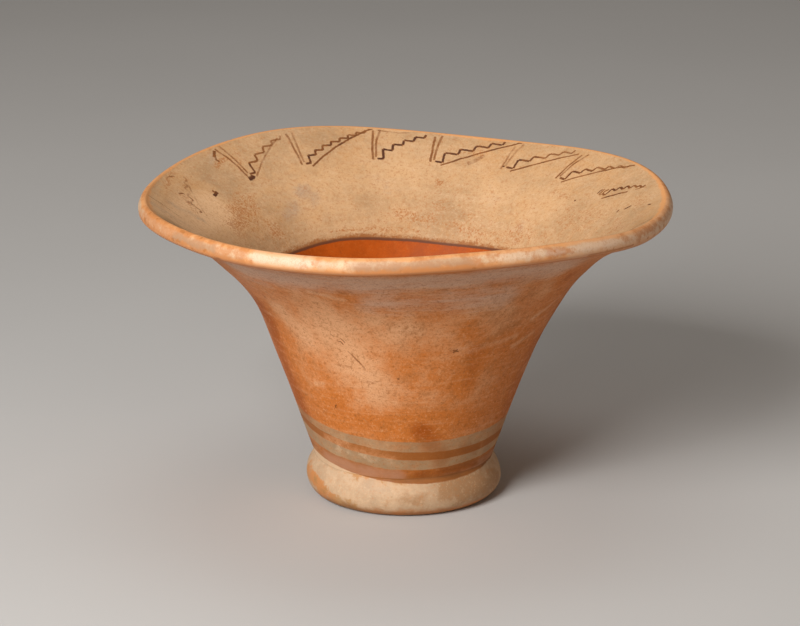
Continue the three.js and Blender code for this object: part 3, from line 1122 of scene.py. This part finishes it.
# Brush strokes, as thin strips laid on the pot

Stroke = namedtuple("Stroke", "strength end width corners")
STROKE_STEP = 0.8
STROKE_MARGIN = 1.7
STROKE_LIFTS = (0.05, 0.06, 0.07)
STROKE_SUNK = 0.12
STROKE_ROWS = 4


def cut_corners(run):
    """Round a path's corners off, keeping its ends"""
    low, high = run[:-1], run[1:]
    pairs = np.stack((0.8 * low + 0.2 * high, 0.2 * low + 0.8 * high), 1).reshape(-1, 2)
    return np.vstack((run[:1], pairs, run[-1:]))


def brush_path(stroke, face, rng):
    """Even, slightly unsteady steps along a stroke: (millimetres round, run up the face), and the radius"""
    corners = np.array(stroke.corners, dtype=float)
    radius = face.at_level(corners[:, 1].mean(), face.points[:, 0])
    run = np.stack((np.radians(corners[:, 0]) * radius, face.at_level(corners[:, 1], face.run)), 1)
    run = cut_corners(run)
    length = np.concatenate(((0.0,), np.cumsum(np.linalg.norm(np.diff(run, axis=0), axis=1))))
    steps = max(int(length[-1] / STROKE_STEP), 3)
    at = np.linspace(0, length[-1], steps + 1)
    path = np.stack([np.interp(at, length, run[:, k]) for k in (0, 1)], 1)
    for k in (0, 1):
        path[:, k] += 0.12 * np.sin(at * rng.uniform(0.25, 0.7) + rng.uniform(0, math.tau))
        path[:, k] += 0.06 * np.sin(at * rng.uniform(1.2, 2.2) + rng.uniform(0, math.tau))
    return path, radius


def lay_stroke(bm, layers, stroke, face, rng, lift):
    """One strip of a few rows, as wide as the stroke and a margin, on the nominal face"""
    path, radius = brush_path(stroke, face, rng)
    steps = len(path) - 1
    ways = np.gradient(path, axis=0)
    ways /= np.maximum(np.linalg.norm(ways, axis=1, keepdims=True), 1e-6)
    grid = bmesh.ops.create_grid(bm, x_segments=steps, y_segments=STROKE_ROWS, size=1.0)["verts"]
    flat = np.array([vert.co[:2] for vert in grid])
    index = np.rint((flat[:, 0] + 1) / 2 * steps).astype(int)
    across = flat[:, 1]
    half = stroke.width / 2 * STROKE_MARGIN * across
    round_pot = (path[index, 0] - half * ways[index, 1]) / radius
    run = path[index, 1] + half * ways[index, 0]
    out = face.at_run(run, face.points[:, 0]) + lift * face.at_run(run, face.square[:, 0])
    level = face.at_run(run, face.points[:, 1]) + lift * face.at_run(run, face.square[:, 1])
    press = np.minimum(np.minimum(index, steps - index) / 2 + 0.75, 1)
    press = press * (stroke.strength + (stroke.end - stroke.strength) * index / steps)
    places = zip(grid, out * np.cos(round_pot), out * np.sin(round_pot), level, across, press)
    for vert, x, y, z, side, pressed in places:
        vert.co = (x, y, z)
        vert[layers["across"]] = side
        vert[layers["stroke"]] = pressed


def sink(bm, face):
    """Give strips that lie on the slip a back that is sunk in it, so that each is a closed body"""
    back = bmesh.ops.extrude_face_region(bm, geom=bm.faces[:])["geom"]
    for item in back:
        if isinstance(item, bmesh.types.BMVert):
            out, up = (STROKE_SUNK * face.at_level(item.co.z, face.square[:, k]) for k in (0, 1))
            flat = item.co.xy.normalized() * out
            item.co -= Vector((flat.x, flat.y, up))


def lay_strokes(name, strokes, side, pot, seed):
    """A piece made of brush strokes: each a closed strip, half sunk in the slip"""
    rng = np.random.default_rng(seed)
    face = pot.faces[side]
    bm = bmesh.new()
    layers = {key: bm.verts.layers.float.new(key) for key in ("across", "stroke")}
    for number, stroke in enumerate(strokes):
        lay_stroke(bm, layers, stroke, face, rng, STROKE_LIFTS[number % len(STROKE_LIFTS)])
    sink(bm, face)
    bmesh.ops.recalc_face_normals(bm, faces=bm.faces)
    mesh = bpy.data.meshes.new(name)
    bm.to_mesh(mesh)
    bm.free()
    mesh.shade_smooth()
    mesh.set_sharp_from_angle(angle=SHARP)
    place_on_pot(mesh, pot, np.full(len(mesh.vertices), side == INSIDE), dents=False)
    return add_piece(name, mesh)


# Painted ornament inside the rim: each motif is a double line down from the rim to a tip, a stair that
# climbs back to the rim from the tip, and a line under the stair, of which the end is given as how far
# round from the tip and how far up it is. Angles in degrees, levels in mm.

Motif = namedtuple("Motif", "tip level reach rise steps slant top lines stair fade under base")
LINE_WIDTH = 1.45
MOTIFS = (
    Motif(137.4, 177.7, 15.6, 13.4, 5, 1.6, 192.6, 0.5, 0.75, 0.35, (14.5, 12.5), 0.32),
    Motif(118.6, 176.6, 19.1, 15.9, 8, -0.6, 191.5, 0.42, 0.9, 0.5, (20.7, 16.9), 0.7),
    Motif(97.3, 179.0, 12.6, 13.6, 5, -1.6, 192.6, 0.55, 1.0, 0.8, (0, 0), 0.0),
    Motif(81.5, 180.2, 16.6, 12.9, 5, -0.8, 192.0, 0.65, 0.95, 0.75, (20.4, 13.3), 0.7),
    Motif(61.5, 181.0, 16.9, 11.7, 5, -1.2, 191.8, 0.3, 0.85, 0.45, (17.8, 10.2), 0.6),
    Motif(42.8, 178.8, 18.6, 13.2, 6, -2.4, 191.0, 0.55, 0.75, 0.42, (19.5, 14.2), 0.6),
    Motif(21.6, 177.4, 11.2, 12.4, 6, -0.2, 179.6, 0.6, 0.9, 0.7, (8.1, 6.3), 0.7),
    Motif(168.6, 175.0, 11.0, 14.0, 5, -0.5, 176.0, 0.1, 0.3, 0.25, (10.0, 12.0), 0.15),
)
MOTIF_PITCH = 19.7
HIDDEN_MOTIFS = 7
FIRST_HIDDEN_TIP = -22.0
ORNAMENT_SEED = 23

# Single strokes beside the motifs: dashes, specks and blots of paint

LOOSE_STROKES = (
    Stroke(1.0, 1.0, 3.0, ((139.4, 176.0), (138.2, 175.8), (137.2, 176.8))),
    Stroke(0.8, 0.8, 2.2, ((153.2, 177.0), (154.6, 176.6), (155.6, 176.2))),
    Stroke(0.6, 0.6, 1.6, ((154.3, 178.6), (154.0, 176.9))),
    Stroke(0.7, 0.7, 2.0, ((141.6, 192.2), (142.4, 191.0), (143.4, 189.8))),
    Stroke(0.45, 0.45, 1.4, ((142.4, 190.8), (143.8, 188.6), (143.2, 187.4))),
    Stroke(0.32, 0.3, 1.2, ((163.5, 192.2), (161.6, 191.7), (160.4, 190.9))),
    Stroke(0.6, 0.5, 1.1, ((166.8, 185.3), (165.2, 184.4), (165.0, 183.6))),
    Stroke(0.36, 0.36, 1.1, ((168.6, 181.0), (167.0, 180.6), (166.8, 179.4), (168.2, 179.2))),
    Stroke(0.5, 0.5, 1.5, ((168.4, 175.2), (167.8, 174.4))),
    Stroke(0.42, 0.42, 0.7, ((180.0, 193.2), (180.7, 190.3), (181.6, 186.0), (182.2, 181.0))),
    Stroke(0.8, 0.8, 0.9, ((24.4, 176.6), (24.2, 179.4))),
    Stroke(0.7, 0.7, 0.9, ((22.9, 176.5), (22.0, 178.2))),
    Stroke(0.85, 0.85, 0.9, ((6.9, 175.9), (7.3, 177.4))),
    Stroke(0.9, 0.9, 1.1, ((5.6, 178.9), (4.7, 181.8))),
    Stroke(0.85, 0.85, 1.0, ((358.4, 187.8), (357.2, 188.8))),
    Stroke(0.5, 0.5, 0.8, ((11.8, 186.1), (10.0, 189.2))),
    Stroke(0.8, 0.8, 1.2, ((63.1, 181.2), (62.4, 181.4))),
    Stroke(0.7, 0.7, 1.2, ((30.5, 170.2), (30.0, 170.5))),
    Stroke(0.28, 0.28, 3.0, ((73.0, 180.6), (71.2, 182.6), (69.0, 185.6))),
    Stroke(0.25, 0.25, 1.2, ((97.0, 192.8), (92.0, 192.2), (87.0, 193.2))),
)

SCRATCHES = (
    Stroke(0.4, 0.4, 0.8, ((240.6, 127.2), (242.0, 125.0))),
    Stroke(0.5, 0.5, 0.7, ((243.2, 122.4), (244.6, 121.6), (245.2, 119.8))),
    Stroke(0.42, 0.42, 0.6, ((244.4, 124.6), (246.0, 121.6))),
    Stroke(0.25, 0.36, 0.7, ((246.6, 115.4), (248.2, 113.0))),
    Stroke(0.36, 0.5, 1.1, ((248.2, 113.0), (250.0, 109.8), (252.0, 106.4))),
    Stroke(0.4, 0.25, 0.9, ((252.0, 106.4), (253.6, 103.4))),
    Stroke(0.6, 0.6, 0.9, ((236.0, 74.6), (235.0, 73.8), (234.9, 72.2))),
    Stroke(0.6, 0.6, 0.9, ((266.6, 98.2), (267.6, 98.0))),
    Stroke(0.5, 0.5, 0.8, ((288.0, 114.6), (289.6, 116.6))),
    Stroke(0.5, 0.5, 0.8, ((287.8, 116.4), (290.2, 115.0))),
)


def motif_strokes(motif, rng):
    """The strokes of one motif"""
    strokes = []
    for side, start in enumerate((1.7, 0.7)):
        low = motif.level - 0.8 + 1.2 * side + rng.uniform(-0.4, 0.4)
        high = max(motif.top + 0.8 * side, low + 2)
        foot = motif.tip + start
        middle = foot + motif.slant * 0.3
        top = foot + motif.slant + 0.4 - 0.8 * side
        corners = ((top, high), (middle, (low + high) / 2), (foot, low))
        strength = motif.lines * (1.0, 0.82)[side]
        strokes.append(Stroke(strength * 0.85, strength, LINE_WIDTH, corners))
    angle, level = motif.tip + 0.4, motif.level
    shares = np.array((0.7, *np.linspace(1.1, 0.9, motif.steps - 1)))
    climbs = np.array((1.8, *np.linspace(1.05, 0.6, motif.steps - 1)))
    strengths = np.linspace(motif.stair, motif.fade, motif.steps)
    for share, climb, strength in zip(shares / shares.sum(), climbs / climbs.sum(), strengths):
        wide = motif.reach * share * rng.uniform(0.92, 1.08)
        dip = rng.uniform(-0.1, 0.4)
        edge = (angle - 0.88 * wide, level - dip)
        top = (angle - wide, level + motif.rise * climb)
        strokes.append(Stroke(strength, strength, LINE_WIDTH, ((angle, level), edge)))
        strokes.append(Stroke(strength, strength, LINE_WIDTH, (edge, top)))
        angle, level = top
    if motif.base:
        reach, rise = motif.under
        start = (motif.tip - 1.2, motif.level - 1.8)
        end = (motif.tip - reach, motif.level + rise)
        strokes.append(Stroke(motif.base, motif.base * 0.9, LINE_WIDTH * 0.85, (start, end)))
    return strokes


def ornament_strokes():
    """The motifs on the far side of the rim, like ones carried on round it, and the loose strokes"""
    rng = np.random.default_rng(ORNAMENT_SEED)
    motifs = list(MOTIFS)
    for number in range(HIDDEN_MOTIFS):
        seen = MOTIFS[int(rng.integers(0, len(MOTIFS) - 2))]
        fade = rng.uniform(0.45, 1.05)
        motifs.append(Motif(
            FIRST_HIDDEN_TIP - MOTIF_PITCH * number + rng.uniform(-1, 1),
            seen.level + rng.uniform(-1, 1),
            seen.reach + rng.uniform(-1, 1),
            seen.rise,
            seen.steps,
            seen.slant,
            seen.top,
            seen.lines * fade,
            seen.stair * fade,
            seen.fade * fade,
            seen.under,
            seen.base * fade,
        ))
    strokes = [stroke for motif in motifs for stroke in motif_strokes(motif, rng)]
    return strokes + list(LOOSE_STROKES)


# Operators, one for each group of pieces

class BOWL_OT_foot(bpy.types.Operator):
    """Model the hollow ring foot and the coil pressed under the floor"""

    bl_idname = "bowl.foot"
    bl_label = "Foot"

    def execute(self, context):
        pot = Pot(context.scene.bowl_form)
        section = np.vstack((pot.foot_face, pot.foot_inside()))
        dress(revolve("foot_ring", section, pot), "foot", "bare")
        top = pot.neck[1]
        pull = (FOOT_SEAT - 0.3 * LUTING, top - 0.25 * LUTING)
        arc = spline(((FOOT_SEAT - LUTING, top), pull, (FOOT_SEAT + 1, top - 0.7 * LUTING)), 10)
        coil = revolve("foot_luting_coil", np.vstack(((FOOT_SEAT, top), arc)), pot)
        dress(coil, "bare")
        return {"FINISHED"}


class BOWL_OT_floor(bpy.types.Operator):
    """Model the floor disc and the coil smoothed into its inside angle"""

    bl_idname = "bowl.floor"
    bl_label = "Floor"

    def execute(self, context):
        pot = Pot(context.scene.bowl_form)
        neck = pot.neck[1]
        top = neck + FLOOR
        well = pot.wall_run(neck, neck + FLOOR_BEVEL_HIGH, pot.wall, 1)[-1]
        rim = pot.wall_run(neck, neck + FLOOR_BEVEL_LOW, 0, 6)
        section = np.vstack(((0, neck), rim, (well[0], top), (0, top)))
        disc = revolve("floor_disc", section, pot)
        dress(disc, OUTSIDE, INSIDE)
        disc.data.materials.append(finish_for("bare"))
        for face in disc.data.polygons:
            if face.normal.z < FACING_DOWN:
                face.material_index = len(disc.data.materials) - 1
        high = pot.wall_run(neck, neck + FLOOR_BEVEL_HIGH + FILLET, pot.wall, 1)[-1]
        pull = (high[0] - FILLET_HOLLOW, top + FILLET_HOLLOW / 2)
        arc = spline((high, pull, (well[0] - FILLET, top)), 14)
        coil = revolve("floor_fillet_coil", np.vstack(((well[0], top), arc)), pot)
        dress(coil, INSIDE)
        return {"FINISHED"}


class BOWL_OT_wall(bpy.types.Operator):
    """Model the three courses of the wall"""

    bl_idname = "bowl.wall"
    bl_label = "Wall courses"

    def execute(self, context):
        pot = Pot(context.scene.bowl_form)
        neck = pot.neck[1]
        low, high = COURSE_TOPS
        end = WALL_END[1]
        well = pot.wall_run(neck, neck + FLOOR_BEVEL_HIGH, pot.wall, 1)[-1]
        lower = np.vstack((
            pot.wall_run(neck + FLOOR_BEVEL_LOW, low, 0, 30),
            pot.wall_run(low + SCARF, neck + FLOOR_BEVEL_HIGH, pot.wall, 30),
            (well[0], neck + FLOOR),
        ))
        middle = np.vstack((
            pot.wall_run(low, high, 0, 34),
            pot.wall_run(high + SCARF, low + SCARF, pot.wall, 34),
        ))
        upper = np.vstack((
            pot.wall_run(high, end, 0, 56),
            pot.wall_run(end, high + SCARF, pot.wall, 56),
        ))
        dress(revolve("lower_wall", lower, pot), OUTSIDE, INSIDE)
        dress(revolve("middle_wall", middle, pot), OUTSIDE, INSIDE)
        dress(revolve("upper_wall", upper, pot), OUTSIDE, INSIDE)
        return {"FINISHED"}


class BOWL_OT_lip(bpy.types.Operator):
    """Model the rim coil that makes the thick rounded lip"""

    bl_idname = "bowl.lip"
    bl_label = "Lip"

    def execute(self, context):
        pot = Pot(context.scene.bowl_form)
        undercut = np.linspace(WALL_END, pot.lip_edge, 7)[:-1]
        slope = np.linspace(pot.lip_face[-1], pot.lining[-1], 8)[1:]
        section = np.vstack((undercut, pot.lip_face, slope))
        lip = revolve("rim_lip", section, pot, LIP_STEPS_ROUND)
        dress(lip, "lip", INSIDE)
        return {"FINISHED"}


class BOWL_OT_ornament(bpy.types.Operator):
    """Paint the fine brown ornament inside the rim and the dark scratches outside"""

    bl_idname = "bowl.ornament"
    bl_label = "Ornament and scratches"

    def execute(self, context):
        pot = Pot(context.scene.bowl_form)
        ornament = lay_strokes("rim_ornament_paint", ornament_strokes(), INSIDE, pot, 5)
        dress(ornament, "paint")
        scratches = lay_strokes("wall_scratches", SCRATCHES, OUTSIDE, pot, 6)
        dress(scratches, "paint")
        return {"FINISHED"}


# Studio: name, place, power, size and colour of each light

LIGHTS = (
    ("key_light", (-0.97, -1.55, 1.22), 60.0, 0.9, (1.0, 0.98, 0.95)),
    ("fill_light", (1.6, -1.4, 0.45), 6.0, 1.2, (1.0, 0.74, 0.5)),
    ("top_light", (0.0, 0.5, 1.9), 7.0, 1.2, (1.0, 0.98, 0.95)),
)
LIGHT_AIM = (0, 0, 0.12)
PAPER_TONES = ((0.46, 0.455, 0.45), (0.50, 0.495, 0.49))
AIR_COLOUR = (1.0, 0.88, 0.76, 1)
AIR_STRENGTH = 0.16
FLOOR_SIZE = 12.0
CAMERA_PLACE = (0.0, -2.1, 0.7564)
CAMERA_AIM = (0.0, 0.0, 0.1146)
CAMERA_LENS = 158.4
CAMERA_SHIFT = -3.64 / 800


class BOWL_OT_stage(bpy.types.Operator):
    """Make the pale floor, the soft lights and the camera"""

    bl_idname = "bowl.stage"
    bl_label = "Stage"

    def execute(self, context):
        scene = context.scene
        bm = bmesh.new()
        bmesh.ops.create_grid(bm, x_segments=1, y_segments=1, size=FLOOR_SIZE)
        mesh = bpy.data.meshes.new("studio_floor")
        bm.to_mesh(mesh)
        bm.free()
        floor = bpy.data.objects.new("studio_floor", mesh)
        scene.collection.objects.link(floor)
        paper = Finish("pale_paper")
        tone = paper.mix(paper.noise(3.0, 2.0, 0.5), *PAPER_TONES)
        paper.feed(paper.shader.inputs["Base Color"], tone)
        paper.shader.inputs["Roughness"].default_value = 0.9
        mesh.materials.append(paper.material)
        world = bpy.data.worlds.new("studio_air")
        world.use_nodes = True
        world.node_tree.nodes["Background"].inputs["Color"].default_value = AIR_COLOUR
        world.node_tree.nodes["Background"].inputs["Strength"].default_value = AIR_STRENGTH
        scene.world = world
        for name, place, power, size, colour in LIGHTS:
            data = bpy.data.lights.new(name, "AREA")
            data.energy = power
            data.size = size
            data.color = colour
            light = bpy.data.objects.new(name, data)
            light.location = place
            aim = Vector(LIGHT_AIM) - Vector(place)
            light.rotation_euler = aim.to_track_quat("-Z", "Y").to_euler()
            scene.collection.objects.link(light)
        data = bpy.data.cameras.new("studio_camera")
        data.lens = CAMERA_LENS
        data.sensor_width = 36.0
        data.shift_x = CAMERA_SHIFT
        data.clip_end = 50.0
        camera = bpy.data.objects.new("studio_camera", data)
        camera.location = CAMERA_PLACE
        aim = Vector(CAMERA_AIM) - Vector(CAMERA_PLACE)
        camera.rotation_euler = aim.to_track_quat("-Z", "Y").to_euler()
        scene.collection.objects.link(camera)
        scene.camera = camera
        scene.view_settings.view_transform = "Standard"
        return {"FINISHED"}


class BOWL_PT_panel(bpy.types.Panel):
    """Lists the settings and the steps of making the bowl"""

    bl_idname = "BOWL_PT_panel"
    bl_label = "Flaring bowl"
    bl_space_type = "VIEW_3D"
    bl_region_type = "UI"
    bl_category = "Bowl"

    def draw(self, context):
        for group in (context.scene.bowl_form, context.scene.bowl_colours):
            for key in group.__annotations__:
                self.layout.prop(group, key)
        for operator in OPERATORS:
            self.layout.operator(operator.bl_idname)


OPERATORS = (BOWL_OT_foot, BOWL_OT_floor, BOWL_OT_wall, BOWL_OT_lip, BOWL_OT_ornament, BOWL_OT_stage)
CLASSES = (BowlForm, BowlColours, *OPERATORS, BOWL_PT_panel)


def register():
    for cls in CLASSES:
        bpy.utils.register_class(cls)
    bpy.types.Scene.bowl_form = bpy.props.PointerProperty(type=BowlForm)
    bpy.types.Scene.bowl_colours = bpy.props.PointerProperty(type=BowlColours)


def unregister():
    del bpy.types.Scene.bowl_colours
    del bpy.types.Scene.bowl_form
    for cls in reversed(CLASSES):
        bpy.utils.unregister_class(cls)


def main():
    register()
    bpy.ops.bowl.foot()
    bpy.ops.bowl.floor()
    bpy.ops.bowl.wall()
    bpy.ops.bowl.lip()
    bpy.ops.bowl.ornament()
    bpy.ops.bowl.stage()


if __name__ == "__main__":
    main()
